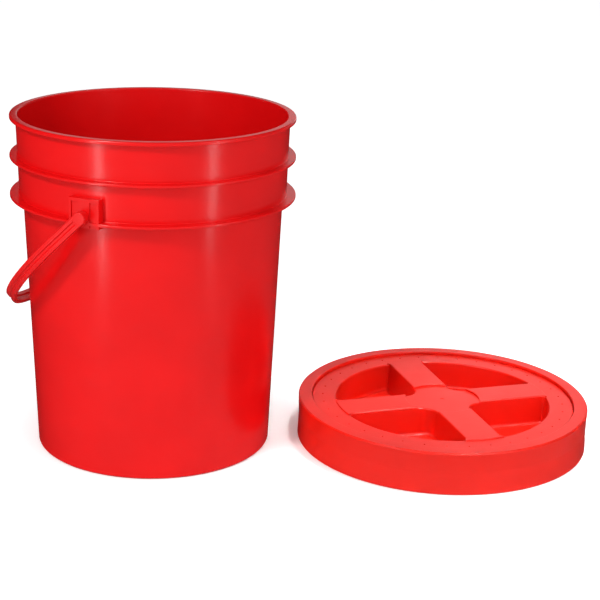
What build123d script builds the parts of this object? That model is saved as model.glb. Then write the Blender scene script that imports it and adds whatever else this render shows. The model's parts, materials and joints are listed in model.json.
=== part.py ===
from build123d import *
import math
import os

# A 19 litre plastic fermenting pail, open, with its swinging strap handle down at the left and its two-part
# screw lid lying flat on the floor at the right.
# Frame: millimetres, +Z up, the origin on the floor at the centre of the pail's base.

# Pail
pail_height = 368.0
base_radius = 129.3
wall = 2.3
floor_thickness = 2.6
lower_wall_top_radius = 139.8    # outer radius just under the lower rib
collar_bottom_radius = 143.6     # outer radius just above the lower rib
collar_middle_radius = 144.7     # outer radius just above the upper rib
collar_top_radius = 146.0        # outer radius just under the rim
rim_radius = 152.2
rim_lip_depth = 4.2
rim_flange = 2.4
rim_lip = 2.2
rim_round = 1.2
lower_rib_radius = 153.6
lower_rib_z = 280.0
upper_rib_radius = 152.9
upper_rib_z = 322.0
rib_thickness = 3.0
rib_round = 0.8
foot_round = 2.0
base_groove_radius = 116.0
base_groove_width = 4.0
base_groove_depth = 1.2
base_groove_round = 0.4

# Ears, one on each side of the pail, which carry the handle
ear_azimuth = -27.4              # degrees from the front, towards the left
pivot_z = 288.6
ear_face = 151.6                 # from the pail's axis to the ear's flat outer face
ear_half_width = 17.0
ear_bottom_z = 276.8
ear_top_z = 307.0
ear_plate = 3.0
ear_shelf = 3.6
ear_side = 2.6
ear_boss_half_width = 6.4
ear_panel_depth = 1.6
ear_round = 1.0
ear_hole_radius = 4.75

# Handle: a flat strap with a groove along both faces
strap_width = 13.0
strap_thickness = 5.0
strap_groove_width = 3.2
strap_groove_depth = 1.6
strap_round = 1.1
handle_half_span = 160.5         # from the pivot axis's middle to the strap's centre, along the axis
handle_reach = 201.3             # from the pivot axis to the middle of the strap at its far end
handle_straight = 40.0           # straight stretch beside each ear
handle_droop = 43.8              # degrees below level at rest, just clear of the wall
hub_radius = 7.0
hub_thickness = 5.6              # the round pad at each end of the strap
hub_neck_radius = 5.8            # the spacer between the hub and the ear
hub_gap = 0.25                   # between the spacer and the ear's face
stud_clearance = 0.05
stud_head_radius = 6.2
stud_head_gap = 0.3
stud_head_thickness = 2.2

# Lid: where its centre lies on the floor, and the turn of its cross
lid_x = 327.0
lid_y = -15.0
cross_turn = 12.0                # degrees, anticlockwise from above

# Snap ring
ring_height = 47.0
ring_radius = 164.0
skirt = 2.2
skirt_waist_z = 24.5             # faint crease between the skirt's two bands
skirt_waist_inset = 1.0
skirt_waist_round = 3.0
skirt_edge_round = 0.6           # also the free edges of the walls under the lid
shoulder_radius = 162.2          # the fine line between the top face and the rounded shoulder
shoulder_drop = 0.8
shoulder_inset = 0.3
shoulder_round = 1.2
shoulder_edge_round = 0.3
ring_top = 2.6
ring_step_radius = 148.4         # where the top face drops to the ledge
ring_step_round = 0.8
ring_inside_round = 1.0
ledge_z = 40.8
ledge = 2.6
rim_socket_radius = 152.9
rim_socket_wall = 2.4
rim_socket_bottom_z = 25.6
snap_bead = 1.7
snap_bead_height = 3.0
snap_bead_round = 0.5
rim_seat_z = 35.8                # height in the lid of the rim's top face when the lid is on
mouth_rib_radius = 141.2         # locating rib that drops just inside the pail's mouth
mouth_rib_wall = 2.2
mouth_rib_bottom_z = 27.0
thread_bore_radius = 127.6
thread_wall = 2.6
thread_wall_bottom_z = 11.0
seal_seat_radius = 133.6
seal_seat_z = 37.2
seal_seat_round = 0.5

# Gasket under the ledge, and O-ring under the screw lid's flange
gasket_inner_radius = 144.2
gasket_outer_radius = 151.8
gasket_round = 0.6               # on the side that meets the rim, and half of it on the other
seal_radius = 131.0
seal_section = 3.4

# Screw lid
flange_top_z = 43.7
flange = 2.7
flange_radius = 147.6
flange_round = 0.9               # on top, and half of it underneath
pan_radius = 123.6               # outer face of the threaded wall
pan_bottom_z = 9.4
pan_bottom_round = 2.5
shell = 2.8
seal_shoulder_radius = 127.1
seal_shoulder_z = 37.4
seal_shoulder_chamfer = 2.0
pocket_radius = 121.0
pocket_floor_z = 12.2
pocket_draft = 4.0
arm_width = 40.0
arm_top_z = 45.0
arm_end_radius = 122.6
hub_disc_radius = 42.0
hub_top_z = 43.0
pocket_corner = 4.0
pocket_hub_corner = 16.0
arm_flare = 3.0
pocket_floor_round = 4.0
arm_edge_round = 1.2
dimple_count = 36
dimple_circle = 136.3
dimple_radius = 1.25
gate_radius = 3.0
gate_depth = 0.35

# Thread between the two: one start, right-handed
thread_pitch = 10.0
thread_turns = 1.1
thread_root = 4.2                # width of a ridge where it leaves its wall
thread_crest = 1.8               # width of a ridge at its crest
pan_thread_height = 3.2
ring_thread_height = 2.6
pan_thread_start_z = 13.0
ring_thread_start_z = 18.0
thread_bury = 0.6

overcut = 1.0                    # how far a cut runs past the face it opens
tolerance = 0.01


def section(outline):
    """A closed face from (radius, height, corner radius) points."""
    face = make_face(Polyline(*[(radius, height) for radius, height, _ in outline], close=True))
    for radius, height, corner in outline:
        if corner:
            face = fillet(face.vertices().sort_by_distance((radius, height))[0], corner)
    return face


def turned(outline):
    """The solid that an outline sweeps out round the Z axis."""
    return revolve(Plane.XZ * section(outline), Axis.Z)


def one_solid(shape):
    """The single solid of a shape that is one piece."""
    solids = shape.solids()
    assert len(solids) == 1, f"{len(solids)} solids instead of one"
    return solids[0]


# ---------------------------------------------------------------- pail

def pail_wall():
    """The pail as a full body of revolution, with no ribs, rim or hollow."""
    step_z = lower_rib_z + rib_thickness / 2
    return turned([
        (0, 0, 0),
        (base_radius, 0, foot_round),
        (lower_wall_top_radius, step_z, 0),
        (collar_bottom_radius, step_z, 0),
        (collar_middle_radius, upper_rib_z + rib_thickness, 0),
        (collar_top_radius, pail_height, 0),
        (0, pail_height, 0),
    ])


def pail_hollow():
    """The space inside the pail."""
    step_z = lower_rib_z + rib_thickness / 2 - wall
    top = pail_height + overcut
    return turned([
        (0, floor_thickness, 0),
        (base_radius - wall, floor_thickness, 2 * foot_round),
        (lower_wall_top_radius - wall, step_z, 2 * foot_round),
        (collar_bottom_radius - wall, step_z + wall, foot_round),
        (collar_middle_radius - wall, upper_rib_z + rib_thickness, 0),
        (collar_top_radius - wall, pail_height, 0),
        (collar_top_radius - wall, top, 0),
        (0, top, 0),
    ])


def pail_rib(radius, z):
    """A flat stiffening flange round the pail."""
    inside = lower_wall_top_radius - wall / 2
    return turned([
        (inside, z, 0),
        (radius, z, rib_round),
        (radius, z + rib_thickness, rib_round),
        (inside, z + rib_thickness, 0),
    ])


def pail_rim():
    """The rim: a flange that turns down at its edge, so that it is hollow underneath."""
    inside = collar_top_radius - wall / 2
    return turned([
        (inside, pail_height, 0),
        (rim_radius, pail_height, rim_round),
        (rim_radius, pail_height - rim_lip_depth, rim_round / 2),
        (rim_radius - rim_lip, pail_height - rim_lip_depth, 0),
        (rim_radius - rim_lip, pail_height - rim_flange, 0),
        (inside, pail_height - rim_flange, 0),
    ])


def ear_frame(side):
    """Ear axes: X out along the pivot axis, Y round the pail, Z up. Side 1 is the front ear, -1 the back."""
    turn = ear_azimuth - 90 if side > 0 else ear_azimuth + 90
    return Pos(0, 0, pivot_z) * Rot(0, 0, turn)


def ear_block():
    """One ear: a block with rounded edges, and a recessed panel, open below, at each side of its middle."""
    height = ear_top_z - ear_bottom_z
    middle_z = (ear_top_z + ear_bottom_z) / 2 - pivot_z
    depth = ear_face - base_radius
    block = Pos(ear_face - depth / 2, 0, middle_z) * Box(depth, 2 * ear_half_width, height)
    front = block.faces().sort_by(Axis.X)[-1]
    block = fillet(front.edges(), ear_round)
    panel_width = ear_half_width - ear_side - ear_boss_half_width
    panel_z = middle_z - ear_shelf
    for side in (-1, 1):
        panel_y = side * (ear_boss_half_width + panel_width / 2)
        block -= Pos(ear_face, panel_y, panel_z) * Box(2 * ear_panel_depth, panel_width, height)
    return block


def ear_pocket():
    """The hollow behind an ear's face, open at the bottom."""
    height = ear_top_z - ear_shelf - ear_bottom_z + overcut
    middle_z = ear_top_z - ear_shelf - height / 2 - pivot_z
    depth = ear_face - ear_plate - base_radius
    width = 2 * (ear_half_width - ear_side)
    return Pos(base_radius + depth / 2, 0, middle_z) * Box(depth, width, height)


def ear_front():
    """The space in front of an ear's face, where the lower rib is cut away."""
    depth = lower_rib_radius
    height = ear_top_z - ear_bottom_z
    middle_z = (ear_top_z + ear_bottom_z) / 2 - pivot_z
    return Pos(ear_face + depth / 2, 0, middle_z) * Box(depth, 2 * ear_half_width, height)


def ear_hole():
    """The round hole in an ear's face that the handle's stud turns in."""
    return Pos(ear_face, 0, 0) * Rot(0, 90, 0) * Cylinder(ear_hole_radius, 4 * ear_plate)


def base_groove():
    """A shallow ring groove in the underside of the base."""
    return turned([
        (base_groove_radius, -overcut, 0),
        (base_groove_radius + base_groove_width, -overcut, 0),
        (base_groove_radius + base_groove_width, base_groove_depth, base_groove_round),
        (base_groove_radius, base_groove_depth, base_groove_round),
    ])


def bucket():
    solid_wall = pail_wall()
    body = solid_wall + pail_rib(lower_rib_radius, lower_rib_z) + pail_rib(upper_rib_radius, upper_rib_z)
    body += pail_rim()
    for side in (-1, 1):
        body += ear_frame(side) * ear_block()
        body -= ear_frame(side) * ear_front()
        body -= ear_frame(side) * ear_pocket() - solid_wall
        body -= ear_frame(side) * ear_hole()
    return one_solid(body - pail_hollow() - base_groove())


# ---------------------------------------------------------------- handle
# Handle axes: X from the pivot axis to the far end of the loop, Y along the pivot axis, Z across the strap.

def handle_path():
    """Half of the strap's centre line: straight beside the ear, then a quarter of an ellipse."""
    straight = Line((0, handle_half_span), (handle_straight, handle_half_span))
    bend = EllipticalCenterArc(
        (handle_straight, 0), handle_reach - handle_straight, handle_half_span, start_angle=0, arc_size=90
    )
    return straight, bend


def strap_section():
    """The strap's cross-section, in the plane across its centre line at the pivot."""
    groove = Rectangle(strap_groove_width, 2 * strap_groove_depth)
    flat = Rectangle(strap_width, strap_thickness)
    flat = fillet(flat.vertices(), strap_round)
    for side in (-1, 1):
        flat -= Pos(0, side * strap_thickness / 2) * groove
    return flat


def strap_half():
    straight, bend = handle_path()
    across = Plane(origin=(0, handle_half_span, 0), x_dir=(0, 0, 1), z_dir=(1, 0, 0))
    first = sweep(across * strap_section(), path=straight)
    end = Plane(origin=(handle_reach, 0, 0), x_dir=(0, 0, 1), z_dir=(0, 1, 0))
    second = sweep(end * strap_section(), path=bend)
    return first + second


def handle_stud():
    """The hub at one end of the strap, and the headed stud that snaps into the ear."""
    hub_inner = ear_face + hub_gap
    hub_outer = handle_half_span + strap_thickness / 2
    head_outer = ear_face - ear_plate - stud_head_gap
    stud_radius = ear_hole_radius - stud_clearance

    def disc(radius, low, high):
        return Pos(0, (low + high) / 2, 0) * Rot(90, 0, 0) * Cylinder(radius, high - low)

    hub = disc(hub_radius, hub_outer - hub_thickness, hub_outer)
    hub = fillet(hub.edges().sort_by(Axis.Y)[-1], strap_round)
    neck = disc(hub_neck_radius, hub_inner, handle_half_span)
    stud = disc(stud_radius, head_outer - stud_head_thickness, hub_inner + overcut)
    head = disc(stud_head_radius, head_outer - stud_head_thickness, head_outer)
    head = chamfer(head.edges().sort_by(Axis.Y)[0], stud_head_thickness / 2)
    return hub + neck + stud + head


def bail_handle():
    half = strap_half() + handle_stud()
    loop = half + mirror(half, Plane.XZ)
    droop = math.radians(handle_droop)
    ear = math.radians(ear_azimuth)
    out = Vector(-math.cos(ear), -math.sin(ear), 0)
    along = Vector(math.sin(ear), -math.cos(ear), 0)
    reach = out * math.cos(droop) - Vector(0, 0, math.sin(droop))
    hang = Plane(origin=(0, 0, pivot_z), x_dir=reach, z_dir=reach.cross(along))
    return one_solid(hang.location * loop)


# ---------------------------------------------------------------- lid
# Lid axes: Z up through the lid's centre, heights from the bottom of its skirt.

def ridge(wall_radius, height, start_z):
    """One thread ridge, standing out from wall_radius by height (inwards if height is negative)."""
    bury = math.copysign(thread_bury, height)
    flank = (thread_root - thread_crest) / 2 * abs(thread_bury / height)
    outline = Polyline(
        (wall_radius - bury, -thread_root / 2 - flank),
        (wall_radius + height, -thread_crest / 2),
        (wall_radius + height, thread_crest / 2),
        (wall_radius - bury, thread_root / 2 + flank),
        close=True,
    )
    path = Helix(thread_pitch, thread_pitch * thread_turns, wall_radius)
    return Pos(0, 0, start_z) * sweep(Plane.XZ * make_face(outline), path=path, is_frenet=True)


def ring_shell():
    """The snap ring's turned shape: skirt, top face, rim socket, ledge and threaded wall in one section."""
    waist = ring_radius - skirt_waist_inset
    socket_outer = rim_socket_radius + rim_socket_wall
    ledge_bottom = ledge_z - ledge
    thread_outer = thread_bore_radius + thread_wall
    top_under = ring_height - ring_top
    return turned([
        (ring_radius, 0, skirt_edge_round),
        (waist, skirt_waist_z, skirt_waist_round),
        (ring_radius - shoulder_inset, ring_height - shoulder_drop, shoulder_round),
        (shoulder_radius, ring_height - shoulder_drop, 0),
        (shoulder_radius, ring_height, shoulder_edge_round),
        (ring_step_radius, ring_height, ring_step_round),
        (ring_step_radius, ledge_z, ring_step_round / 2),
        (seal_seat_radius, ledge_z, seal_seat_round),
        (seal_seat_radius, seal_seat_z, seal_seat_round),
        (thread_bore_radius, seal_seat_z, seal_seat_round),
        (thread_bore_radius, thread_wall_bottom_z, skirt_edge_round),
        (thread_outer, thread_wall_bottom_z, skirt_edge_round),
        (thread_outer, seal_seat_z - ledge, 0),
        (seal_seat_radius + ledge, seal_seat_z - ledge, 0),
        (seal_seat_radius + ledge, ledge_bottom, 0),
        (mouth_rib_radius - mouth_rib_wall, ledge_bottom, 0),
        (mouth_rib_radius - mouth_rib_wall, mouth_rib_bottom_z, skirt_edge_round),
        (mouth_rib_radius, mouth_rib_bottom_z, skirt_edge_round),
        (mouth_rib_radius, ledge_bottom, 0),
        (rim_socket_radius, ledge_bottom, 0),
        (rim_socket_radius, rim_socket_bottom_z + snap_bead_height, 0),
        (rim_socket_radius - snap_bead, rim_socket_bottom_z + snap_bead_height / 2, snap_bead_round),
        (rim_socket_radius, rim_socket_bottom_z, 0),
        (socket_outer, rim_socket_bottom_z, skirt_edge_round),
        (socket_outer, top_under, ring_inside_round),
        (waist - skirt, top_under, ring_inside_round),
        (waist - skirt, skirt_waist_z, 0),
        (ring_radius - skirt, 0, skirt_edge_round),
    ])


def lid_place():
    return Pos(lid_x, lid_y, 0)


def snap_ring():
    thread = ridge(thread_bore_radius, -ring_thread_height, ring_thread_start_z)
    return one_solid(lid_place() * (ring_shell() + thread))


def rim_gasket():
    """A flat ring against the underside of the ledge, where the rim presses on it."""
    top = ledge_z - ledge
    bottom = rim_seat_z
    return one_solid(lid_place() * turned([
        (gasket_inner_radius, bottom, gasket_round),
        (gasket_inner_radius, top, gasket_round / 2),
        (gasket_outer_radius, top, gasket_round / 2),
        (gasket_outer_radius, bottom, gasket_round),
    ]))


def lid_o_ring():
    height = flange_top_z - flange - seal_section / 2
    return one_solid(lid_place() * Pos(0, 0, height) * Torus(seal_radius, seal_section / 2))


def pan_blank():
    """The screw lid before its pockets are sunk: flange, seal shoulder and wall round a solid middle."""
    return turned([
        (0, pan_bottom_z, 0),
        (pan_radius, pan_bottom_z, pan_bottom_round),
        (pan_radius, seal_shoulder_z - seal_shoulder_chamfer, 0),
        (seal_shoulder_radius, seal_shoulder_z, 0),
        (seal_shoulder_radius, flange_top_z - flange, 0),
        (flange_radius, flange_top_z - flange, flange_round / 2),
        (flange_radius, flange_top_z, flange_round),
        (hub_disc_radius, flange_top_z, 0),
        (hub_disc_radius, hub_top_z, 0),
        (0, hub_top_z, 0),
    ])


def arm_tops():
    """The raised tops of the four arms, a little wider than the arms so that they flare round the pockets."""
    width = arm_width + 2 * arm_flare
    height = arm_top_z - pocket_floor_z
    length = 3 * arm_end_radius
    cross = Box(length, width, height) + Box(width, length, height)
    ring = Cylinder(arm_end_radius, height) - Cylinder(hub_disc_radius, height)
    return Pos(0, 0, arm_top_z - height / 2) * (cross & ring)


def pocket_outline():
    """The outline of one pocket: a quarter of the pan between two arms, rounded at its corners."""
    half = arm_width / 2
    size = 2 * pocket_radius
    outline = Circle(pocket_radius) & Pos(half + size / 2, half + size / 2) * Rectangle(size, size)
    corners = outline.vertices().sort_by_distance((0, 0))
    outline = fillet(corners[1:], pocket_corner)
    return fillet(outline.vertices().sort_by_distance((0, 0))[0], pocket_hub_corner)


def pocket():
    """One sunk pocket, tapering to its flat floor."""
    depth = arm_top_z - pocket_floor_z
    cut = extrude(Pos(0, 0, arm_top_z) * pocket_outline(), amount=-depth, taper=pocket_draft)
    floor = cut.faces().sort_by(Axis.Z)[0]
    return fillet(floor.edges(), pocket_floor_round)


def under_arms():
    """The hollow under the arms and hub, open at the bottom."""
    top = hub_top_z - shell
    height = top - pan_bottom_z + overcut
    width = arm_width - 2 * shell
    length = 2 * pan_radius
    cross = (Box(length, width, height) + Box(width, length, height)) & Cylinder(pan_radius - shell, height)
    return Pos(0, 0, top - height / 2) * cross


def dimples():
    """The ring of small dimples in the flange."""
    balls = []
    for i in range(dimple_count):
        place = Rot(0, 0, i * 360 / dimple_count) * Pos(dimple_circle, 0, flange_top_z)
        balls.append(place * Sphere(dimple_radius))
    return balls


def grip_edges(body):
    """The long edges a hand meets: along the arms' tops, and round the outside of the pockets."""
    edges = []
    for edge in body.edges():
        middle = edge @ 0.5
        long = edge.length > arm_width
        on_arm = abs(middle.Z - arm_top_z) < tolerance and edge.geom_type == GeomType.LINE
        round_pocket = abs(math.hypot(middle.X, middle.Y) - pocket_radius) < arm_edge_round
        on_flange = abs(middle.Z - flange_top_z) < tolerance and round_pocket
        if long and (on_arm or on_flange):
            edges.append(edge)
    return edges


def screw_lid():
    body = pan_blank() + arm_tops()
    for i in range(4):
        body -= Rot(0, 0, 90 * i) * pocket()
    body = fillet(grip_edges(body), arm_edge_round)
    body -= under_arms()
    for ball in dimples():
        body -= ball
    body -= Pos(0, 0, hub_top_z) * Cylinder(gate_radius, 2 * gate_depth)
    body += ridge(pan_radius, pan_thread_height, pan_thread_start_z)
    return one_solid(lid_place() * Rot(0, 0, cross_turn) * body)


parts = {
    "bucket": bucket,
    "bail_handle": bail_handle,
    "snap_ring": snap_ring,
    "rim_gasket": rim_gasket,
    "screw_lid": screw_lid,
    "lid_o_ring": lid_o_ring,
}

os.makedirs("parts", exist_ok=True)
for name, make in parts.items():
    export_step(make(), f"parts/{name}.step")
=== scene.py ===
import json
import math

import bmesh
import bpy
from mathutils import Euler, Matrix, Vector


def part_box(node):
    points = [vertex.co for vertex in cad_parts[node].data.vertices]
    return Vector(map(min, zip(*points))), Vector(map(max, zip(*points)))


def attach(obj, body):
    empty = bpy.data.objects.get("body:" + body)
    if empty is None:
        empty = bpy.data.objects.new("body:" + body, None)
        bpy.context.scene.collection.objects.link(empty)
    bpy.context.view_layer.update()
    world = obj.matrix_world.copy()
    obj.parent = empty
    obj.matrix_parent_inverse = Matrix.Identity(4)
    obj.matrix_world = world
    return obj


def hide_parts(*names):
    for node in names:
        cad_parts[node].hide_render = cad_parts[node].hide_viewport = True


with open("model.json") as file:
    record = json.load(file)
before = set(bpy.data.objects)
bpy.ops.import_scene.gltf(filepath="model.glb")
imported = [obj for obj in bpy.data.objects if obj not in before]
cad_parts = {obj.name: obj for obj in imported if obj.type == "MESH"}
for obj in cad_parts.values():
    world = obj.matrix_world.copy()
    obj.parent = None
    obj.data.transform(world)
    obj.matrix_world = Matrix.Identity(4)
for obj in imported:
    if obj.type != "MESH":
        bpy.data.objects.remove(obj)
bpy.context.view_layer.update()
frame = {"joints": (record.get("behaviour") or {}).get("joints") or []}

scene = bpy.context.scene

# Lengths are in millimetres, and become metres where a mesh is made.
MM = 0.001
OVERCUT = 1.0                            # how far a cutting shape stands past the surface that it cuts
HAIR = 0.02                              # keeps two faces from lying in one plane
ON_AXIS = 0.001                          # a radius below this is the axis itself
DOUBLED = 0.0003                         # points closer than this are one point
SLIVER = 0.0005                          # a face thinner than this is left out after rounding
SHARP = math.radians(32)                 # an edge with a greater angle is shaded sharp
CORNER = math.radians(60)                # an edge with a greater angle can be rounded

# Pail
PAIL_HEIGHT = 368.0
BASE_RADIUS = 129.3
WALL = 2.3
FLOOR = 2.6
LOWER_WALL_TOP_RADIUS = 139.8
COLLAR_RADII = (143.6, 144.7, 146.0)     # just above the lower rib, just above the upper rib, under the rim
RIM_RADIUS = 152.2
RIM_LIP_DEPTH = 4.2
RIM_FLANGE = 2.4
RIM_LIP = 2.2
RIM_ROUNDS = (1.8, 1.6)                  # outer and inner edge of the top
LOWER_RIB = (153.6, 280.0)               # radius, height of its underside
UPPER_RIB = (152.9, 322.0)
RIB = 3.0
BASE_GROOVE = (116.0, 120.0, 1.2)        # inner radius, outer radius, depth
BASE_ROUND = 2.0
INSIDE_ROUND = 4.0

# Ears
EAR_FACE = 151.6
EAR_HALF_WIDTH = 17.0
EAR_BOTTOM = 276.8
EAR_TOP = 307.0
EAR_PLATE = 3.0
EAR_SHELF = 3.6
EAR_SIDE = 2.6
EAR_BOSS_HALF_WIDTH = 6.4
EAR_PANEL_DEPTH = 1.6
EAR_HOLE_RADIUS = 4.75
EAR_EDGE_ROUND = 0.5
EAR_FRONT_DEPTH = 10.0                   # depth of the gap cut in the lower rib
CORE_BELOW_EAR = 20.0                    # how far the shape that trims an ear reaches below it
CORE_SKIN = 0.05                         # keeps the gap in the rib off the pail's wall

# Handle
STRAP_WIDTH = 13.0
STRAP_THICKNESS = 5.0
STRAP_GROOVE = (3.2, 1.6)                # width, depth
STRAP_GROOVE_LEAN = 0.5
STRAP_ROUNDS = (1.4, 1.0, 0.7)           # outer edges, edges of the groove, floor of the groove
HALF_SPAN = 160.5
REACH = 201.3
STRAIGHT = 40.0
DROOP = math.radians(43.8)
HUB_RADIUS = 7.0
HUB_THICKNESS = 5.6
HUB_NECK_RADIUS = 5.8
HUB_PROUD = 0.15                         # from the strap's outer face
EAR_GAP = 0.25                           # between the hub's neck and the ear's face
HEAD_GAP = 0.3                           # between the stud's head and the back of the ear's plate
STUD_RADIUS = 4.7
STUD_HEAD_RADIUS = 6.2
STUD_HEAD = 2.2

# Lid, heights from the bottom of its skirt
CROSS_TURN = math.radians(12.0)
RING_RADIUS = 164.0
RING_HEIGHT = 47.0
RING_WALL = 2.6
SKIRT_CREASE = (163.0, 24.5)             # radius, height
SKIRT_TOP_RADIUS = 163.7
SKIRT_INSIDE_RADII = (161.8, 160.8)      # at the foot, from the crease up
TOP_STEP = (162.2, 0.8)                  # radius, depth of the step round the ring's top
MOUTH_RADIUS = 148.4
LEDGE_TOP = 40.8
SEAT_RADIUS = 133.6
SEAT_TOP = 37.2
BORE_RADIUS = 127.6
BORE_BOTTOM = 11.0
LOCATING_RIB = (139.0, 141.2, 27.0)      # inner radius, outer radius, height of its lower edge
SOCKET_RADIUS = 152.9
SOCKET_WALL = 2.4
BEAD = (151.2, 27.1, 1.5)                # radius, height of its middle, half its height
GASKET_RADII = (144.2, 151.8)
GASKET_GROOVE = (146.4, 149.6, 0.4)      # inner radius, outer radius, depth
PAN_RADIUS = 123.6
PAN_BOTTOM = 9.4
PAN_SHOULDER = (127.1, 35.4, 37.4)       # radius, heights where it starts and where it is full
FLANGE_TOP = 43.7
FLANGE = 2.7
FLANGE_RADIUS = 147.6
SHELL = 2.8
POCKET_RADIUS = 121.0
POCKET_FLOOR = 12.2
POCKET_DRAFT = math.radians(4.0)
POCKET_CORNER = 4.0
POCKET_HUB_CORNER = 16.0
POCKET_FLOOR_ROUND = 4.0
POCKET_EDGE_ROUND = 1.6
POCKET_STEP = 0.4                        # half the width of a step between two heights of a pocket's edge
ARM_HALF_WIDTH = 20.0
ARM_FLARE = 3.0
ARM_TOP = 45.0
ARM_END_RADIUS = 122.6
ARM_END_ROUND = 1.0
ARM_BURY = 5.0                           # how far an arm's raised top reaches down into the flange
UNDER_CORNER = 8.0                       # corners of the hollow under the arms
UNDER_EDGE = ((0, 1.5), (0.5, 0.4), (1.5, 0))    # steps round the hollow's upper edge: inset, drop
HUB_DISC_RADIUS = 42.0
HUB_TOP = 43.0
DIMPLES = 36
DIMPLE_CIRCLE = 136.3
DIMPLE_RADIUS = 1.25
GATE = (3.0, 0.35)                       # radius, depth
RING_THREAD = (-2.6, 18.0)               # height of the ridge, height above the floor where it starts
LID_THREAD = (3.2, 13.0)
THREAD_PITCH = 10.0
THREAD_TURNS = 1.1
THREAD_ROOT = 4.2
THREAD_CREST = 1.8
THREAD_BURY = 0.6

# Steps that round shapes are made of
SEGMENTS = 256
HOLE_SEGMENTS = 64
STUD_SEGMENTS = 72
GATE_SEGMENTS = 48
DIMPLE_SEGMENTS = 24
THREAD_STEPS = 120                       # in one turn
THREAD_FADE_STEPS = 10
STRAP_STEPS = 160                        # along the bend
STRAIGHT_STEPS = 4
ROUND_STEP = math.radians(15)
ROUND_TURNS = [ROUND_STEP * k for k in range(7)]
STRAP_ROUND_STEP = math.radians(22)

# Colours, linear
PAIL_RED = (0.80, 0.004, 0.005)
LID_RED = (0.78, 0.011, 0.004)
RUBBER_BLACK = (0.012, 0.012, 0.013)
FLOOR_WHITE = (0.92, 0.92, 0.92)

# Finishes. Noise sizes are in waves per metre, bump distances in metres.
NOISE_MIDDLE = (0.3, 0.7)                # where most of a noise pattern's values lie
PLASTIC_IOR = 1.42
MOTTLE = (14, 0.95, 1.04)                # size, darkest and lightest tone
HAZE = (40, -0.02, 0.03)                 # size, change of roughness
PEEL = (420, 0.12, 0.0004)               # size, strength, distance
FLOW = (26, 0.10, 0.0012)                # size, strength, distance
FLOW_STRETCH = (1, 1, 0.25)
PAIL_ROUGHNESS = 0.22
HANDLE_ROUGHNESS = 0.32
RING_ROUGHNESS = 0.31
SCREW_LID_ROUGHNESS = 0.32
RUBBER_IOR = 1.5
BLOOM = (60, 0.7, 1.8)                   # size, darkest and lightest tone
RUBBER_ROUGHNESS = (0.55, 0.7)
RUBBER_GRAIN = (1500, 0.3, 0.0002)       # size, strength, distance

# Studio. Lengths are in metres from here on.
FLOOR_SIZE = 30
FLOOR_DROP = 0.0005
FLOOR_ROUGHNESS = 0.8
FLOOR_SHINE = 0.1
FLOOR_GLOW = 0.75                        # lift of the floor as the camera sees it
FLOOR_SHADE_REACH = 0.12                 # how near the object takes the lift away, leaving painted shade round it
DOME_FRONT = (0.20, -0.87, -0.45)
DOME_FADE = (-0.75, 0.95)                # how far a direction agrees with the front: darkest, brightest
DOME_LIGHT = (0.05, 1.00)                # behind the object, in front of it
DOME_REFLECTION = (0.02, 0.35)
TOP_LIGHT_SPREAD = math.radians(24)
CAMERA_PLACE = (0, -1.638, 0.691)
CAMERA_YAW = math.radians(5.66)
CAMERA_PITCH = math.radians(17.96)
CAMERA_ROLL = math.radians(1.69)
CAMERA_LENS = 92.9                       # mm

# Places, worked out from the frame
ring_low, ring_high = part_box("snap_ring")
gasket_low, gasket_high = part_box("rim_gasket")
o_ring_low, o_ring_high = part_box("lid_o_ring")
lid_place = Matrix.Translation(((ring_low.x + ring_high.x) / 2, (ring_low.y + ring_high.y) / 2, 0))
bail_joint = next(joint for joint in frame["joints"] if joint["name"] == "bail_swing")
pivot = Vector(bail_joint["pos_m"])
pivot_axis = Vector(bail_joint["axis"]).normalized()


# ---------------------------------------------------------------- outlines

def arc(centre, radius, start, end, count):
    """Points along an arc between two angles in degrees, in count steps."""
    angles = [math.radians(start + (end - start) * i / count) for i in range(count + 1)]
    return [Vector((centre[0] + radius * math.cos(a), centre[1] + radius * math.sin(a))) for a in angles]


def rounded(outline, step=ROUND_STEP):
    """The points of a closed outline of (x, y, corner radius), with its round corners as short steps."""
    points = []
    for i, (x, y, corner) in enumerate(outline):
        here = Vector((x, y))
        if not corner:
            points.append(here)
            continue
        back = (Vector(outline[i - 1][:2]) - here).normalized()
        ahead = (Vector(outline[(i + 1) % len(outline)][:2]) - here).normalized()
        half = back.angle(ahead) / 2
        centre = here + (back + ahead).normalized() * corner / math.sin(half)
        start = here + back * corner / math.tan(half) - centre
        end = here + ahead * corner / math.tan(half) - centre
        count = max(2, math.ceil((math.pi - 2 * half) / step))
        points += [centre + start.slerp(end, k / count) * corner for k in range(count + 1)]
    return points


def outward(points):
    """For each point of a closed outline, the vector that moves it outwards by one unit of offset."""
    area = sum(a.x * b.y - a.y * b.x for a, b in zip(points, points[1:] + points[:1]))
    side = math.copysign(1, area)
    moves = []
    for i, here in enumerate(points):
        before = (here - points[i - 1]).normalized()
        after = (points[(i + 1) % len(points)] - here).normalized()
        first = Vector((before.y, -before.x)) * side
        second = Vector((after.y, -after.x)) * side
        moves.append((first + second) / (1 + first.dot(second)))
    return moves


# ---------------------------------------------------------------- meshes

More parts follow.
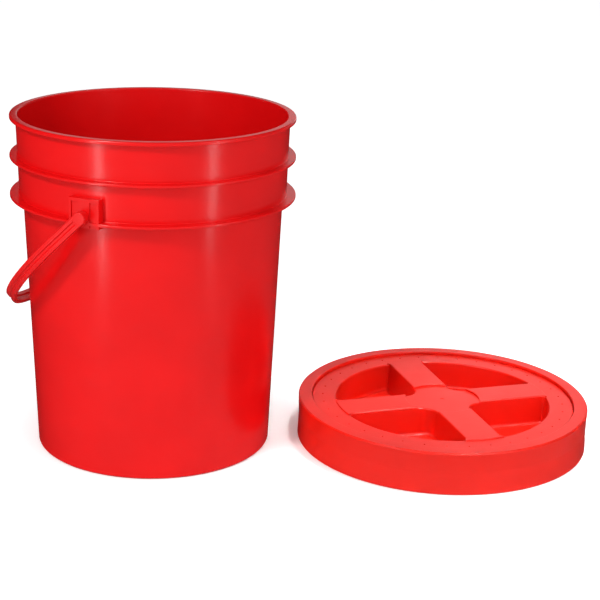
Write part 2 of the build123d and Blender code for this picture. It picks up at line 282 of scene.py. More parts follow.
def piece_from(name, rings, closed, capped, place):
    """A mesh object from rings of points in millimetres. Each ring joins the next one, point by point."""
    build = bmesh.new()
    loops = [[build.verts.new(Vector(point) * MM) for point in points] for points in rings]
    pairs = list(zip(loops, loops[1:]))
    if closed:
        pairs.append((loops[-1], loops[0]))
    for lower, upper in pairs:
        count = max(len(lower), len(upper))
        if count == 1:
            continue
        for k in range(count):
            corners = [lower[k % len(lower)], lower[(k + 1) % len(lower)],
                       upper[(k + 1) % len(upper)], upper[k % len(upper)]]
            build.faces.new(list(dict.fromkeys(corners)))
    if capped:
        build.faces.new(loops[0])
        build.faces.new(loops[-1])
    bmesh.ops.recalc_face_normals(build, faces=build.faces)
    mesh = bpy.data.meshes.new(name)
    build.to_mesh(mesh)
    build.free()
    mesh.transform(place)
    piece = bpy.data.objects.new(name, mesh)
    scene.collection.objects.link(piece)
    return piece


def lathe(name, outline, place=Matrix.Identity(4), segments=SEGMENTS):
    """A closed outline of (radius, height, corner radius), turned round the Z axis of its place."""
    rings = []
    for radius, height in rounded(outline):
        if radius < ON_AXIS:
            rings.append([(0, 0, height)])
            continue
        turns = [math.tau * k / segments for k in range(segments)]
        rings.append([(radius * math.cos(turn), radius * math.sin(turn), height) for turn in turns])
    return piece_from(name, rings, True, False, place)


def loft(name, outline, profile, place=Matrix.Identity(4)):
    """A solid over a flat outline. profile gives a point of the outline its (offset, height) steps."""
    columns = []
    for point, move in zip(outline, outward(outline)):
        steps = profile(point)
        columns.append([(*(point + move * offset), height) for offset, height in steps])
    return piece_from(name, list(zip(*columns)), False, True, place)


def block(name, low, high, place=Matrix.Identity(4)):
    """A plain box between two corners, used to cut other shapes."""
    sides = [(low[0], low[1]), (high[0], low[1]), (high[0], high[1]), (low[0], high[1])]
    outline = [Vector(corner) for corner in sides]
    return loft(name, outline, lambda point: [(0, low[2]), (0, high[2])], place)


def apply_modifiers(piece):
    """Makes the shape that a piece's modifiers give it its own mesh."""
    bpy.context.view_layer.update()
    evaluated = piece.evaluated_get(bpy.context.evaluated_depsgraph_get())
    mesh = bpy.data.meshes.new_from_object(evaluated)
    piece.modifiers.clear()
    piece.data = mesh


def combine(piece, operation, *tools):
    """Joins tools to a piece (UNION) or cuts them out of it (DIFFERENCE), and removes the tools."""
    for tool in tools:
        modifier = piece.modifiers.new("combine", "BOOLEAN")
        modifier.operation = operation
        modifier.solver = "MANIFOLD"
        modifier.object = tool
        apply_modifiers(piece)
        bpy.data.objects.remove(tool)
    return piece


def joined(name, pieces):
    """Separate solids as one object."""
    build = bmesh.new()
    for piece in pieces:
        build.from_mesh(piece.data)
        bpy.data.objects.remove(piece)
    mesh = bpy.data.meshes.new(name)
    build.to_mesh(mesh)
    build.free()
    result = bpy.data.objects.new(name, mesh)
    scene.collection.objects.link(result)
    return result


def soften(piece, width, chosen):
    """Rounds the corner edges whose ends are both chosen."""
    build = bmesh.new()
    build.from_mesh(piece.data)
    edges = [edge for edge in build.edges
             if edge.calc_face_angle(0) > CORNER and all(chosen(vert.co) for vert in edge.verts)]
    bmesh.ops.bevel(build, geom=edges, offset=width * MM, segments=3, profile=0.5,
                    affect="EDGES", clamp_overlap=True)
    bmesh.ops.dissolve_degenerate(build, edges=build.edges, dist=SLIVER * MM)
    build.to_mesh(piece.data)
    build.free()
    return piece


def cleaned(piece):
    """Merges doubled points, removes slivers, and shades the piece smooth up to a sharp angle."""
    build = bmesh.new()
    build.from_mesh(piece.data)
    bmesh.ops.remove_doubles(build, verts=build.verts, dist=DOUBLED * MM)
    bmesh.ops.dissolve_degenerate(build, edges=build.edges, dist=DOUBLED * MM)
    for edge in build.edges:
        edge.smooth = not (edge.is_manifold and edge.calc_face_angle(0) > SHARP)
    for face in build.faces:
        face.smooth = True
    build.to_mesh(piece.data)
    build.free()
    modifier = piece.modifiers.new("even_shading", "WEIGHTED_NORMAL")
    modifier.keep_sharp = True
    apply_modifiers(piece)
    return piece


# ---------------------------------------------------------------- pail

def between(low, high, z):
    """The radius at height z on the straight line between two (radius, height) points."""
    return low[0] + (high[0] - low[0]) * (z - low[1]) / (high[1] - low[1])


def pail_turning():
    """The section of the pail's floor, wall, ribs and rim, as (radius, height, corner radius) points."""
    step_z = LOWER_RIB[1] + RIB / 2
    foot = (BASE_RADIUS, 0)
    neck = (LOWER_WALL_TOP_RADIUS, step_z)
    collar = list(zip(COLLAR_RADII, (step_z, UPPER_RIB[1] + RIB, PAIL_HEIGHT)))
    rim_under = PAIL_HEIGHT - RIM_FLANGE
    groove_in, groove_out, groove_depth = BASE_GROOVE
    return [
        (0, 0, 0),
        (groove_in, 0, 0.3),
        (groove_in, groove_depth, 0.4),
        (groove_out, groove_depth, 0.4),
        (groove_out, 0, 0.3),
        (*foot, BASE_ROUND),
        (between(foot, neck, LOWER_RIB[1]), LOWER_RIB[1], 0.8),
        (LOWER_RIB[0], LOWER_RIB[1], 0.9),
        (LOWER_RIB[0], LOWER_RIB[1] + RIB, 0.9),
        (between(*collar[:2], LOWER_RIB[1] + RIB), LOWER_RIB[1] + RIB, 0.8),
        (between(*collar[:2], UPPER_RIB[1]), UPPER_RIB[1], 0.8),
        (UPPER_RIB[0], UPPER_RIB[1], 0.9),
        (UPPER_RIB[0], UPPER_RIB[1] + RIB, 0.9),
        (*collar[1], 0.8),
        (between(*collar[1:], rim_under), rim_under, 0.6),
        (RIM_RADIUS - RIM_LIP, rim_under, 0.4),
        (RIM_RADIUS - RIM_LIP, PAIL_HEIGHT - RIM_LIP_DEPTH, 0.3),
        (RIM_RADIUS, PAIL_HEIGHT - RIM_LIP_DEPTH, 0.7),
        (RIM_RADIUS, PAIL_HEIGHT, RIM_ROUNDS[0]),
        (COLLAR_RADII[2] - WALL, PAIL_HEIGHT, RIM_ROUNDS[1]),
        (COLLAR_RADII[1] - WALL, UPPER_RIB[1] + RIB, 0),
        (COLLAR_RADII[0] - WALL, step_z, 2.0),
        (LOWER_WALL_TOP_RADIUS - WALL, step_z - WALL, INSIDE_ROUND),
        (BASE_RADIUS - WALL, FLOOR, INSIDE_ROUND),
        (0, FLOOR, 0),
    ]


def pail_core(margin):
    """A plain solid inside the pail's outer surface at the height of the ears, grown by a margin."""
    bottom = EAR_BOTTOM - CORE_BELOW_EAR
    step_z = LOWER_RIB[1] + RIB / 2
    top = UPPER_RIB[1] + RIB
    return lathe("pail_core", [
        (0, bottom, 0),
        (between((BASE_RADIUS, 0), (LOWER_WALL_TOP_RADIUS, step_z), bottom) + margin, bottom, 0),
        (LOWER_WALL_TOP_RADIUS + margin, step_z, 0),
        (COLLAR_RADII[0] + margin, step_z, 0),
        (COLLAR_RADII[1] + margin, top, 0),
        (0, top, 0),
    ])


def ear_place(side):
    """An ear's axes: X out of the pail, Y round it, Z up. Side 1 is the front ear, -1 the back one."""
    out = -pivot_axis * side
    return Matrix.Rotation(math.atan2(out.y, out.x), 4, "Z")


def ear_pocket(name, side):
    """The hollow behind an ear's face, open at the bottom."""
    half = EAR_HALF_WIDTH - EAR_SIDE
    low = (LOWER_WALL_TOP_RADIUS - 2 * WALL, -half, EAR_BOTTOM - OVERCUT)
    high = (EAR_FACE - EAR_PLATE, half, EAR_TOP - EAR_SHELF)
    return block(name, low, high, ear_place(side))


def ear_front(side):
    """The space in front of an ear's face, where the lower rib is cut away."""
    half = EAR_HALF_WIDTH + HAIR
    high = (EAR_FACE + EAR_FRONT_DEPTH, half, EAR_TOP)
    return block("ear_front", (EAR_FACE, -half, EAR_BOTTOM), high, ear_place(side))


def ear(side):
    """One ear: a rounded block with a recessed panel at each side of its boss, hollow behind, and holed."""
    place = ear_place(side)
    low = (LOWER_WALL_TOP_RADIUS - WALL, -EAR_HALF_WIDTH, EAR_BOTTOM)
    body = block("ear", low, (EAR_FACE, EAR_HALF_WIDTH, EAR_TOP), place)
    for hand in (-1, 1):
        inner, outer = hand * EAR_BOSS_HALF_WIDTH, hand * (EAR_HALF_WIDTH - EAR_SIDE)
        panel_low = (EAR_FACE - EAR_PANEL_DEPTH, min(inner, outer), EAR_BOTTOM - OVERCUT)
        panel_high = (EAR_FACE + OVERCUT, max(inner, outer), EAR_TOP - EAR_SHELF)
        combine(body, "DIFFERENCE", block("panel", panel_low, panel_high, place))
    combine(body, "DIFFERENCE", ear_pocket("pocket", side))
    across = place @ Matrix.Translation((0, 0, pivot.z)) @ Matrix.Rotation(math.pi / 2, 4, "Y")
    behind, ahead = EAR_FACE - 2 * EAR_PLATE, EAR_FACE + OVERCUT
    hole = [(0, behind, 0), (EAR_HOLE_RADIUS, behind, 0), (EAR_HOLE_RADIUS, ahead, 0), (0, ahead, 0)]
    combine(body, "DIFFERENCE", lathe("hole", hole, across, HOLE_SEGMENTS))
    combine(body, "DIFFERENCE", pail_core(-WALL / 2))
    inverse = place.inverted()
    return soften(body, EAR_EDGE_ROUND, lambda point: (inverse @ point).x > behind * MM)


def pail():
    """The pail with both ears. The lower rib is cut away in front of each ear and inside its hollow."""
    body = lathe("pail", pail_turning())
    for side in (-1, 1):
        rib_gap = combine(ear_pocket("rib_gap", side), "DIFFERENCE", pail_core(CORE_SKIN))
        combine(body, "DIFFERENCE", rib_gap, ear_front(side))
        combine(body, "UNION", ear(side))
    return cleaned(body)


# ---------------------------------------------------------------- handle

def handle_place():
    """The handle's axes: X from the pivot axis to the far end of the loop, Y along the pivot, Z across."""
    along = -pivot_axis
    level = Vector((along.y, -along.x, 0))
    reach = level * math.cos(DROOP) - Vector((0, 0, math.sin(DROOP)))
    turn = Matrix((reach, along, reach.cross(along))).transposed().to_4x4()
    return Matrix.Translation(pivot) @ turn


def strap_section():
    """The strap's section, as (across, through) points, with a groove along the middle of both faces."""
    width, thickness = STRAP_WIDTH / 2, STRAP_THICKNESS / 2
    groove, depth = STRAP_GROOVE[0] / 2, thickness - STRAP_GROOVE[1]
    lean = STRAP_GROOVE_LEAN
    edge, lip, floor = STRAP_ROUNDS
    face = [(-width, thickness, edge), (-groove - lean, thickness, lip), (-groove + lean, depth, floor),
            (groove - lean, depth, floor), (groove + lean, thickness, lip), (width, thickness, edge)]
    return rounded(face + [(-x, -y, corner) for x, y, corner in face], STRAP_ROUND_STEP)


def strap():
    """The strap along its path: straight beside each ear, half an ellipse between."""
    bend = REACH - STRAIGHT
    straight = [STRAIGHT * i / STRAIGHT_STEPS for i in range(STRAIGHT_STEPS)]
    stations = [(Vector((x, HALF_SPAN)), Vector((1, 0))) for x in straight]
    for i in range(STRAP_STEPS + 1):
        turn = math.pi / 2 - math.pi * i / STRAP_STEPS
        point = Vector((STRAIGHT + bend * math.cos(turn), HALF_SPAN * math.sin(turn)))
        ahead = Vector((bend * math.sin(turn), -HALF_SPAN * math.cos(turn)))
        stations.append((point, ahead.normalized()))
    stations += [(Vector((x, -HALF_SPAN)), Vector((-1, 0))) for x in reversed(straight)]
    rings = []
    for point, ahead in stations:
        out = Vector((-ahead.y, ahead.x))
        rings.append([(*(point + out * through), across) for across, through in strap_section()])
    return piece_from("handle", rings, False, True, handle_place())


def stud(side):
    """A hub at one end of the strap, with the headed stud that sits in the ear."""
    outer = HALF_SPAN + STRAP_THICKNESS / 2 + HUB_PROUD
    neck = EAR_FACE + EAR_GAP
    head = EAR_FACE - EAR_PLATE - HEAD_GAP
    tip = head - STUD_HEAD
    across = handle_place() @ Matrix.Rotation(-math.pi / 2 * side, 4, "X")
    return lathe("stud", [
        (0, outer, 0),
        (HUB_RADIUS, outer, 1.4),
        (HUB_RADIUS, outer - HUB_THICKNESS, 0.4),
        (HUB_NECK_RADIUS, outer - HUB_THICKNESS, 0.3),
        (HUB_NECK_RADIUS, neck, 0.3),
        (STUD_RADIUS, neck, 0),
        (STUD_RADIUS, head, 0),
        (STUD_HEAD_RADIUS, head, 0.3),
        (STUD_HEAD_RADIUS, tip + STUD_HEAD / 2, 0.2),
        (STUD_HEAD_RADIUS - STUD_HEAD / 2, tip, 0.3),
        (0, tip, 0),
    ], across, STUD_SEGMENTS)


def handle():
    """The strap with a hub and stud at each end."""
    return cleaned(combine(strap(), "UNION", stud(1), stud(-1)))


# ---------------------------------------------------------------- lid

def thread(name, wall_radius, height, start_z, place):
    """One thread ridge that fades in and out of its wall. A negative height stands inwards."""
    outwards = math.copysign(1, height)
    steps = round(THREAD_STEPS * THREAD_TURNS)
    root = wall_radius - outwards * THREAD_BURY
    rings = []
    for i in range(steps + 1):
        rise = min(1, i / THREAD_FADE_STEPS, (steps - i) / THREAD_FADE_STEPS)
        crest = wall_radius + height * rise - outwards * THREAD_BURY / 2 * (1 - rise)
        z = start_z + THREAD_PITCH * i / THREAD_STEPS
        turn = math.tau * i / THREAD_STEPS
        section = [(root, z - THREAD_ROOT / 2), (crest, z - THREAD_CREST / 2),
                   (crest, z + THREAD_CREST / 2), (root, z + THREAD_ROOT / 2)]
        across = (math.cos(turn), math.sin(turn))
        rings.append([(radius * across[0], radius * across[1], level) for radius, level in section])
    return piece_from(name, rings, False, True, place)


def ring():
    """The snap ring: skirt, top face, rim socket, ledge and threaded wall in one section."""
    step_z = RING_HEIGHT - TOP_STEP[1]
    top_under = RING_HEIGHT - RING_WALL
    ledge_under = LEDGE_TOP - RING_WALL
    seat_under = SEAT_TOP - RING_WALL
    rib_inner, rib_outer, rib_low = LOCATING_RIB
    bead_radius, bead_z, bead_half = BEAD
    shell = lathe("ring", [
        (RING_RADIUS, 0, 0.8),
        (*SKIRT_CREASE, 3.0),
        (SKIRT_TOP_RADIUS, step_z, 1.2),
        (TOP_STEP[0], step_z, 0.15),
        (TOP_STEP[0], RING_HEIGHT, 0.35),
        (MOUTH_RADIUS, RING_HEIGHT, 1.0),
        (MOUTH_RADIUS, LEDGE_TOP, 0.5),
        (SEAT_RADIUS, LEDGE_TOP, 0.4),
        (SEAT_RADIUS, SEAT_TOP, 0.5),
        (BORE_RADIUS, SEAT_TOP, 0.6),
        (BORE_RADIUS, BORE_BOTTOM, 0.7),
        (BORE_RADIUS + RING_WALL, BORE_BOTTOM, 0.7),
        (BORE_RADIUS + RING_WALL, seat_under, 0.8),
        (SEAT_RADIUS + RING_WALL, seat_under, 0),
        (SEAT_RADIUS + RING_WALL, ledge_under, 0),
        (rib_inner, ledge_under, 0.8),
        (rib_inner, rib_low, 0.7),
        (rib_outer, rib_low, 0.7),
        (rib_outer, ledge_under, 0),
        (SOCKET_RADIUS, ledge_under, 0),
        (SOCKET_RADIUS, bead_z + bead_half, 0),
        (bead_radius, bead_z, 0.5),
        (SOCKET_RADIUS, bead_z - bead_half, 0),
        (SOCKET_RADIUS + SOCKET_WALL, bead_z - bead_half, 0.7),
        (SOCKET_RADIUS + SOCKET_WALL, top_under, 1.0),
        (SKIRT_INSIDE_RADII[1], top_under, 1.0),
        (SKIRT_INSIDE_RADII[1], SKIRT_CREASE[1], 0),
        (SKIRT_INSIDE_RADII[0], 0, 0.8),
    ], lid_place)
    return cleaned(combine(shell, "UNION", thread("ring_thread", BORE_RADIUS, *RING_THREAD, lid_place)))


def gasket():
    """A flat ring under the ledge, with a lip on each side of the groove that the rim sinks into."""
    low, high = gasket_low.z / MM, gasket_high.z / MM
    inner, outer = GASKET_RADII
    groove_inner, groove_outer, depth = GASKET_GROOVE
    return cleaned(lathe("gasket", [
        (inner, low, 0.7),
        (inner, high, 0.3),
        (outer, high, 0.3),
        (outer, low, 0.7),
        (groove_outer, low, 0.3),
        (groove_outer - depth, low + depth, 0.2),
        (groove_inner + depth, low + depth, 0.2),
        (groove_inner, low, 0.3),
    ], lid_place))


def o_ring():
    """A plain round ring, at the size that it has in its seat."""
    section = (o_ring_high.z - o_ring_low.z) / MM
    middle = (o_ring_high.z + o_ring_low.z) / 2 / MM
    radius = (o_ring_high.x - o_ring_low.x) / 2 / MM - section / 2
    outline = [(point.x, point.y, 0) for point in arc((radius, middle), section / 2, 0, 345, 23)]
    return cleaned(lathe("o_ring", outline, lid_place))


def pocket_ring(inset):
    """The outline of a pocket, a quarter of the pan between two arms, drawn in by an inset."""
    side = ARM_HALF_WIDTH + inset
    radius = POCKET_RADIUS - inset
    corner = max(POCKET_CORNER - inset, 1.0)
    hub_corner = POCKET_HUB_CORNER - inset
    near = side + corner
    far = math.sqrt((radius - corner) ** 2 - near ** 2)
    lean = math.degrees(math.atan2(far, near))
    step = math.sqrt(HUB_DISC_RADIUS ** 2 - ARM_HALF_WIDTH ** 2)
    points = [Vector((step + POCKET_STEP, side)), Vector((step - POCKET_STEP, side))]
    points += arc((side + hub_corner, side + hub_corner), hub_corner, 270, 180, 14)
    points += [Vector((side, step - POCKET_STEP)), Vector((side, step + POCKET_STEP))]
    points += arc((near, far), corner, 180, lean, 10)
    points += arc((0, 0), radius, lean, 90 - lean, 48)[1:]
    points += arc((far, near), corner, 90 - lean, -90, 16)[1:]
    return points


def pocket_top(point):
    """The height of the lid's top beside a point of a pocket's outline: hub, arm or flange."""
    if point.length < HUB_DISC_RADIUS:
        return HUB_TOP
    if min(point.x, point.y) < ARM_HALF_WIDTH + ARM_FLARE / 2:
        return ARM_TOP
    return FLANGE_TOP


def pocket(place):
    """A pocket as a solid to cut away, with a rounded top edge, drafted walls and a rounded flat floor."""
    tops = [pocket_top(point) for point in pocket_ring(0)]
    draft = math.tan(POCKET_DRAFT)

    def ring_at(inset, heights):
        return [(*point, z) for point, z in zip(pocket_ring(inset), heights)]

    edge = POCKET_EDGE_ROUND
    above = ARM_TOP + OVERCUT
    rings = [ring_at(-edge, [above] * len(tops)), ring_at(-edge, [top + HAIR for top in tops])]
    for turn in ROUND_TURNS[1:]:
        away, drop = 1 - math.sin(turn), 1 - math.cos(turn)
        rings.append(ring_at(edge * (drop * draft - away), [top - edge * drop for top in tops]))
    foot = (ARM_TOP - POCKET_FLOOR - POCKET_FLOOR_ROUND) * draft
    for turn in ROUND_TURNS:
        away, drop = 1 - math.cos(turn), 1 - math.sin(turn)
        height = POCKET_FLOOR + POCKET_FLOOR_ROUND * drop
        rings.append(ring_at(foot + POCKET_FLOOR_ROUND * away, [height] * len(tops)))
    return piece_from("pocket", rings, False, True, place)


def arm_slab(place):
    """The raised top of one arm, with rounded edges, its lower part buried in the pan."""
    half = ARM_HALF_WIDTH + ARM_FLARE
    outer = math.degrees(math.asin(half / ARM_END_RADIUS))
    inner = math.degrees(math.asin(half / HUB_DISC_RADIUS))
    outline = arc((0, 0), ARM_END_RADIUS, -outer, outer, 16)
    outline += arc((0, 0), HUB_DISC_RADIUS, inner, -inner, 16)
    steps = [(0, FLANGE_TOP - ARM_BURY), (0, ARM_TOP - ARM_END_ROUND)]
    for turn in ROUND_TURNS[1:]:
        steps.append((ARM_END_ROUND * (math.cos(turn) - 1), ARM_TOP + ARM_END_ROUND * (math.sin(turn) - 1)))
    return loft("arm", outline, lambda point: steps, place)


def under_cross(place):
    """The hollow under the arms and hub, open at the bottom."""
    half = ARM_HALF_WIDTH - SHELL
    end = PAN_RADIUS - SHELL
    half_angle = math.degrees(math.asin(half / end))
    corner = half + UNDER_CORNER
    outline = []
    for quarter in range(4):
        turn = Matrix.Rotation(quarter * math.pi / 2, 2)
        arm = arc((0, 0), end, -half_angle, half_angle, 8)
        arm += arc((corner, corner), UNDER_CORNER, 270, 180, 8)
        outline += [turn @ point for point in arm]
    top = HUB_TOP - SHELL
    steps = [(0, PAN_BOTTOM - OVERCUT)] + [(-inset, top - drop) for inset, drop in UNDER_EDGE]
    return loft("under_cross", outline, lambda point: steps, place)


def dimple(place):
    """A ball that cuts one dimple in the flange's top."""
    outline = [(point.x, point.y, 0) for point in arc((0, FLANGE_TOP), DIMPLE_RADIUS, -90, 90, 12)]
    centre = place @ Matrix.Translation((DIMPLE_CIRCLE * MM, 0, 0))
    return lathe("dimple", outline, centre, DIMPLE_SEGMENTS)


def gate_mark(place):
    """A flat disc that cuts the gate mark in the middle of the hub."""
    radius, depth = GATE
    low, high = HUB_TOP - depth, HUB_TOP + OVERCUT
    outline = [(0, low, 0), (radius, low, 0), (radius, high, 0), (0, high, 0)]
    return lathe("gate", outline, place, GATE_SEGMENTS)


def screw_lid():
    """The screw lid: a threaded pan with a flange, a raised cross, four pockets and a ring of dimples."""
    place = lid_place @ Matrix.Rotation(CROSS_TURN, 4, "Z")
    quarters = [place @ Matrix.Rotation(k * math.pi / 2, 4, "Z") for k in range(4)]
    flange_under = FLANGE_TOP - FLANGE
    shoulder_radius, shoulder_low, shoulder_high = PAN_SHOULDER
    level_change = (HUB_DISC_RADIUS + POCKET_RADIUS) / 2
    body = lathe("screw_lid_body", [
        (0, PAN_BOTTOM, 0),
        (PAN_RADIUS, PAN_BOTTOM, 2.5),
        (PAN_RADIUS, shoulder_low, 0.6),
        (shoulder_radius, shoulder_high, 0.6),
        (shoulder_radius, flange_under, 0.4),
        (FLANGE_RADIUS, flange_under, 0.6),
        (FLANGE_RADIUS, FLANGE_TOP, 0.9),
        (level_change, FLANGE_TOP, 0),
        (level_change, HUB_TOP, 0),
        (0, HUB_TOP, 0),
    ], place)
    combine(body, "UNION", joined("arms", [arm_slab(quarter) for quarter in quarters]))
    combine(body, "UNION", thread("lid_thread", PAN_RADIUS, *LID_THREAD, place))
    combine(body, "DIFFERENCE", joined("pockets", [pocket(quarter) for quarter in quarters]))
    combine(body, "DIFFERENCE", under_cross(place))
    marks = [dimple(place @ Matrix.Rotation(math.tau * k / DIMPLES, 4, "Z")) for k in range(DIMPLES)]
    combine(body, "DIFFERENCE", joined("marks", marks + [gate_mark(place)]))
    return cleaned(body)


# ---------------------------------------------------------------- node helpers

def new_material(name):
    """An empty node material, with a function that adds a node to it and one that links two sockets."""
    material = bpy.data.materials.new(name)
    material.use_nodes = True
    tree = material.node_tree
    tree.nodes.clear()

    def add(kind, **values):
        node = tree.nodes.new(kind)
        for key, value in values.items():
            if key in node.inputs:
                node.inputs[key].default_value = value
            else:
                setattr(node, key, value)
        return node

    return material, add, tree.links.new


def noise(add, link, size, detail=2.0, stretch=(1, 1, 1)):
    """A noise pattern that is fixed to the object, in metres."""
    coordinates = add("ShaderNodeTexCoord")
    mapping = add("ShaderNodeMapping", Scale=stretch)
    link(coordinates.outputs["Object"], mapping.inputs["Vector"])
    pattern = add("ShaderNodeTexNoise", Scale=size, Detail=detail)
    link(mapping.outputs["Vector"], pattern.inputs["Vector"])
    return pattern.outputs["Fac"]


def spread(add, link, value, low, high):
    """A noise value, widened so that it mostly runs from low to high."""
    node = add("ShaderNodeMapRange")
    node.inputs["From Min"].default_value, node.inputs["From Max"].default_value = NOISE_MIDDLE
    node.inputs["To Min"].default_value = low
    node.inputs["To Max"].default_value = high
    link(value, node.inputs["Value"])
    return node.outputs["Result"]


def tinted(add, link, colour, pattern, low, high):
    """A colour whose brightness follows a pattern."""
    tint = add("ShaderNodeHueSaturation", Color=(*colour, 1))
    link(spread(add, link, pattern, low, high), tint.inputs["Value"])
    return tint.outputs["Color"]


def bump(add, link, finish, stretch=(1, 1, 1)):
    """A bump from a noise pattern. finish is its size, strength and distance."""
    size, strength, distance = finish
    node = add("ShaderNodeBump", Strength=strength, Distance=distance)
    link(noise(add, link, size, stretch=stretch), node.inputs["Height"])
    return node


def output(add, link, shader):
    """Ends a material with its shader."""
    out = add("ShaderNodeOutputMaterial")
    link(shader.outputs["BSDF"], out.inputs["Surface"])


# ---------------------------------------------------------------- materials

def moulded_plastic(name, colour, roughness):
    """Glossy moulded polyethylene: faintly mottled and hazed, with a fine peel and wide flow waves."""
    material, add, link = new_material(name)
    shader = add("ShaderNodeBsdfPrincipled", IOR=PLASTIC_IOR)
    mottle = noise(add, link, MOTTLE[0])
    link(tinted(add, link, colour, mottle, *MOTTLE[1:]), shader.inputs["Base Color"])
    haze = noise(add, link, HAZE[0])
    lowest, highest = roughness + HAZE[1], roughness + HAZE[2]
    link(spread(add, link, haze, lowest, highest), shader.inputs["Roughness"])
    peel = bump(add, link, PEEL)
    flow = bump(add, link, FLOW, FLOW_STRETCH)
    link(peel.outputs["Normal"], flow.inputs["Normal"])
    link(flow.outputs["Normal"], shader.inputs["Normal"])
    output(add, link, shader)
    return material


def elastomer(name):
    """Matt black sealing rubber with a faint bloom and grain."""
    material, add, link = new_material(name)
    shader = add("ShaderNodeBsdfPrincipled", IOR=RUBBER_IOR)
    bloom = noise(add, link, BLOOM[0], detail=4.0)
    link(tinted(add, link, RUBBER_BLACK, bloom, *BLOOM[1:]), shader.inputs["Base Color"])
    link(spread(add, link, bloom, *RUBBER_ROUGHNESS), shader.inputs["Roughness"])
    link(bump(add, link, RUBBER_GRAIN).outputs["Normal"], shader.inputs["Normal"])
    output(add, link, shader)
    return material


def floor_material():
    """Pale paper, lifted towards white where the camera sees it, with painted shade close to the object
    where the lift is taken away.
    """
    material, add, link = new_material("studio_floor")
    shader = add("ShaderNodeBsdfPrincipled", Roughness=FLOOR_ROUGHNESS)
    shader.inputs["Base Color"].default_value = (*FLOOR_WHITE, 1)
    shader.inputs["Specular IOR Level"].default_value = FLOOR_SHINE
    shader.inputs["Emission Color"].default_value = (1, 1, 1, 1)
    rays = add("ShaderNodeLightPath")
    # painted shade: ambient occlusion takes the camera's lift away near the object
    painted_shade_openness = add("ShaderNodeAmbientOcclusion", Distance=FLOOR_SHADE_REACH)
    seen = add("ShaderNodeMath", operation="MULTIPLY")
    link(rays.outputs["Is Camera Ray"], seen.inputs[0])
    link(painted_shade_openness.outputs["AO"], seen.inputs[1])
    glow = add("ShaderNodeMath", operation="MULTIPLY")
    glow.inputs[1].default_value = FLOOR_GLOW
    link(seen.outputs["Value"], glow.inputs[0])
    link(glow.outputs["Value"], shader.inputs["Emission Strength"])
    output(add, link, shader)
    return material


# ---------------------------------------------------------------- pieces

def show(piece, body, material, node):
    """Gives a piece its finish and its body, in place of the plain CAD node."""
    piece.data.materials.clear()
    piece.data.materials.append(material)
    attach(piece, body)
    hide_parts(node)


pail_plastic = moulded_plastic("pail_plastic", PAIL_RED, PAIL_ROUGHNESS)
handle_plastic = moulded_plastic("handle_plastic", PAIL_RED, HANDLE_ROUGHNESS)
ring_plastic = moulded_plastic("ring_plastic", LID_RED, RING_ROUGHNESS)
screw_lid_plastic = moulded_plastic("screw_lid_plastic", LID_RED, SCREW_LID_ROUGHNESS)

show(pail(), "pail", pail_plastic, "bucket")
show(handle(), "handle", handle_plastic, "bail_handle")
show(ring(), "lid_ring", ring_plastic, "snap_ring")
show(gasket(), "lid_ring", elastomer("gasket_elastomer"), "rim_gasket")
show(screw_lid(), "lid_centre", screw_lid_plastic, "screw_lid")
show(o_ring(), "lid_seal", elastomer("o_ring_elastomer"), "lid_o_ring")


# ---------------------------------------------------------------- studio

def studio_floor():
    """A wide floor just below the object."""
    bpy.ops.mesh.primitive_plane_add(size=FLOOR_SIZE, location=(0, 0, -FLOOR_DROP))
    floor = bpy.context.object
    floor.name = "studio_floor"
    floor.data.materials.append(floor_material())
    floor.visible_glossy = False


def softbox(name, azimuth, elevation, distance, size, power, target):
    """A rectangular area light that looks at target from an azimuth and elevation in degrees."""
    data = bpy.data.lights.new(name, "AREA")
    data.shape = "RECTANGLE"
    data.size, data.size_y = size
    data.energy = power
    light = bpy.data.objects.new(name, data)
    turn, lift = math.radians(azimuth), math.radians(elevation)
    out = Vector((math.sin(turn) * math.cos(lift), -math.cos(turn) * math.cos(lift), math.sin(lift)))
    light.location = Vector(target) + out * distance
    light.rotation_euler = (-out).to_track_quat("-Z", "Y").to_euler()
    light.visible_camera = False
    scene.collection.objects.link(light)
    return light


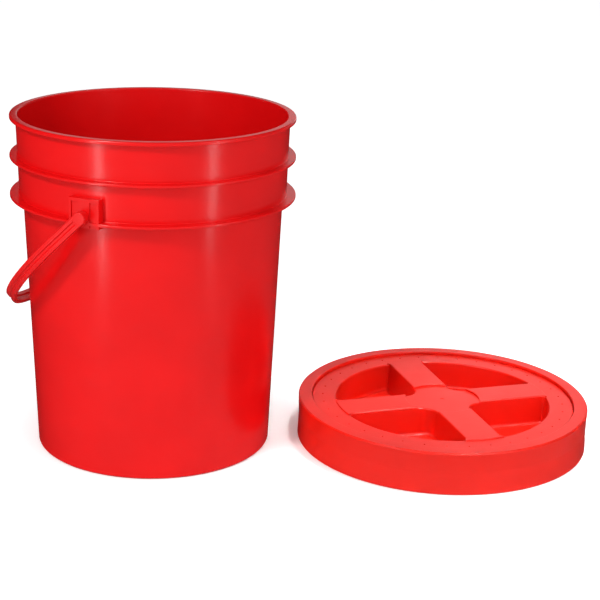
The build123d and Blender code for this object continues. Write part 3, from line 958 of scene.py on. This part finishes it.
def world_light():
    """A dome that is white to the camera, brightest in front as light, and dimmer in reflections."""
    world = bpy.data.worlds.new("studio")
    world.use_nodes = True
    tree = world.node_tree
    direction = tree.nodes.new("ShaderNodeTexCoord")
    facing = tree.nodes.new("ShaderNodeVectorMath")
    facing.operation = "DOT_PRODUCT"
    facing.inputs[1].default_value = DOME_FRONT
    tree.links.new(direction.outputs["Generated"], facing.inputs[0])

    def ramp(low, high):
        node = tree.nodes.new("ShaderNodeMapRange")
        node.interpolation_type = "SMOOTHSTEP"
        node.inputs["From Min"].default_value, node.inputs["From Max"].default_value = DOME_FADE
        node.inputs["To Min"].default_value = low
        node.inputs["To Max"].default_value = high
        tree.links.new(facing.outputs["Value"], node.inputs["Value"])
        return node.outputs["Result"]

    rays = tree.nodes.new("ShaderNodeLightPath")
    choice = tree.nodes.new("ShaderNodeMix")
    tree.links.new(rays.outputs["Is Glossy Ray"], choice.inputs["Factor"])
    tree.links.new(ramp(*DOME_LIGHT), choice.inputs["A"])
    tree.links.new(ramp(*DOME_REFLECTION), choice.inputs["B"])
    seen = tree.nodes.new("ShaderNodeMix")
    seen.inputs["B"].default_value = 1.0
    tree.links.new(rays.outputs["Is Camera Ray"], seen.inputs["Factor"])
    tree.links.new(choice.outputs["Result"], seen.inputs["A"])
    tree.links.new(seen.outputs["Result"], tree.nodes["Background"].inputs["Strength"])
    tree.nodes["Background"].inputs["Color"].default_value = (1, 1, 1, 1)
    scene.world = world


def camera():
    """A camera that looks down at the pail and the lid from the front."""
    data = bpy.data.cameras.new("camera")
    data.lens = CAMERA_LENS
    shot = bpy.data.objects.new("camera", data)
    shot.location = CAMERA_PLACE
    tilt = Euler((math.pi / 2 - CAMERA_PITCH, 0, -CAMERA_YAW)).to_matrix()
    roll = Euler((0, 0, CAMERA_ROLL)).to_matrix()
    shot.rotation_euler = (tilt @ roll).to_euler()
    scene.collection.objects.link(shot)
    scene.camera = shot


studio_floor()
world_light()
softbox("key", -40, 43, 1.7, (0.25, 0.25), 13, (-0.05, 0, 0.2))
softbox("fill", 48, 22, 2.0, (1.2, 1.0), 2.6, (0.1, 0, 0.2))
top_light = softbox("top", 70, 80, 1.3, (0.3, 0.3), 0.45, (0.35, 0, 0.0))
top_light.data.spread = TOP_LIGHT_SPREAD
softbox("lid_sheen", 149, 22, 0.95, (0.7, 0.35), 0.30, (0.33, 0, 0.04))
softbox("back", 170, 12, 1.8, (1.4, 0.8), 1.8, (0.1, 0, 0.2))
softbox("strip_left", -42, 6, 0.75, (0.030, 0.56), 0.75, (0, 0, 0.20))
softbox("strip_right", 46, 6, 0.85, (0.030, 0.56), 0.75, (0, 0, 0.20))
camera()
scene.view_settings.view_transform = "Standard"
